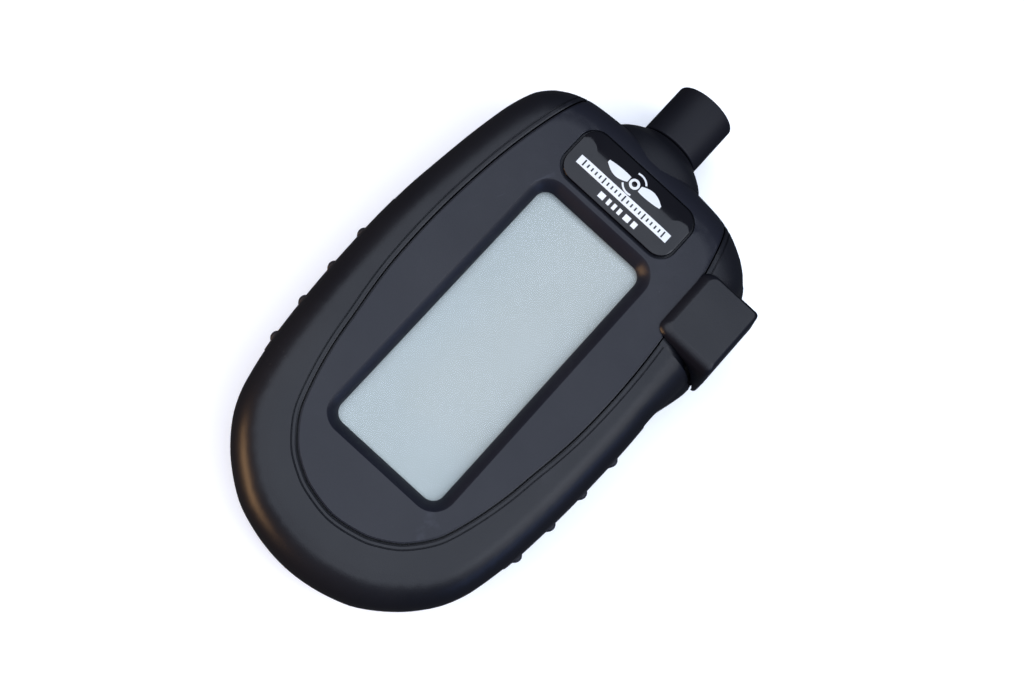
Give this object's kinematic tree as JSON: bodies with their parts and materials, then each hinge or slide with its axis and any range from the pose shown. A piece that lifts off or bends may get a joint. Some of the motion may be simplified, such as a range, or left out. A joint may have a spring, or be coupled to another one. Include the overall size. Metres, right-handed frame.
{
  "type": "optical tachometer",
  "caption": "Pocket optical tachometer: rounded dark case with a blank display, hooded light sensor on one end, wrap-over side push button, ribbed grips and a hinged battery door.",
  "frame": {"origin": "middle of the footprint, on the flat back", "axes": "+Y along the body towards the sensor hood, +Z out of the display, +X towards the push button"},
  "size_m": [0.0658, 0.1172, 0.0265],
  "materials": {
    "case_plastic": "satin moulded, dark slate black",
    "panel_plastic": "satin moulded, dark slate black",
    "button_plastic": "satin moulded, dark grey",
    "hood_plastic": "satin moulded, black",
    "grip_rubber": "matt black",
    "label_gloss": "clear domed resin over black print",
    "clear_lens": "clear polished",
    "lcd_grey": "pale blue-grey reflective display, blank",
    "frame_plastic": "off-white moulded",
    "board_green": "green solder mask",
    "chip_black": "black resin",
    "strip_rubber": "layered conductive silicone",
    "tin_steel": "tin plated",
    "screw_steel": "dark zinc",
    "cell_wrap": "plain blue wrap",
    "sensor_resin": "dark tinted resin",
    "wire_red": "red insulation",
    "wire_black": "black insulation"
  },
  "bodies": {
    "case": {"front_shell": "case_plastic", "face_plate": "panel_plastic", "rear_shell": "case_plastic", "side_grip_right": "grip_rubber", "side_grip_left": "grip_rubber", "display_window": "clear_lens", "lcd_panel": "lcd_grey", "lcd_frame": "frame_plastic", "contact_strip_left": "strip_rubber", "contact_strip_right": "strip_rubber", "name_label": "label_gloss", "sensor_hood": "hood_plastic", "sensor_lens": "clear_lens", "photo_sensor": "sensor_resin", "sensor_board": "board_green", "sensor_lead_red": "wire_red", "sensor_lead_black": "wire_black", "switch_body": "chip_black", "main_board": "board_green", "processor_chip": "chip_black", "crystal": "tin_steel", "capacitor": "chip_black", "battery_cell_left": "cell_wrap", "battery_cell_right": "cell_wrap", "bridge_spring": "tin_steel", "negative_spring": "tin_steel", "bridge_contact": "tin_steel", "positive_contact": "tin_steel", "negative_contact": "tin_steel", "battery_lead_red": "wire_red", "battery_lead_black": "wire_black", "case_screw_1": "screw_steel", "case_screw_2": "screw_steel", "case_screw_3": "screw_steel", "case_screw_4": "screw_steel", "board_screw_1": "screw_steel", "board_screw_2": "screw_steel", "board_screw_3": "screw_steel"},
    "button": {"push_button": "button_plastic"},
    "plunger": {"switch_plunger": "frame_plastic"},
    "door": {"battery_door": "case_plastic"}
  },
  "joints": [
    {"name": "button_push", "type": "slide", "parent": "case", "child": "button", "axis": [-1, 0, 0], "range_m": [0, 0.0012], "stiffness_N_per_m": 900, "springref_m": -0.0008},
    {"name": "plunger_push", "type": "slide", "parent": "case", "child": "plunger", "axis": [-1, 0, 0], "range_m": [0, 0.0012]},
    {"name": "door_hinge", "type": "hinge", "parent": "case", "child": "door", "pos_m": [-0.0012, 0.01045, 0.00025], "axis": [1, 0, 0], "range_deg": [0, 60]}
  ],
  "couplings": [
    {"joint": "plunger_push", "follows": "button_push", "ratio": 1}
  ]
}
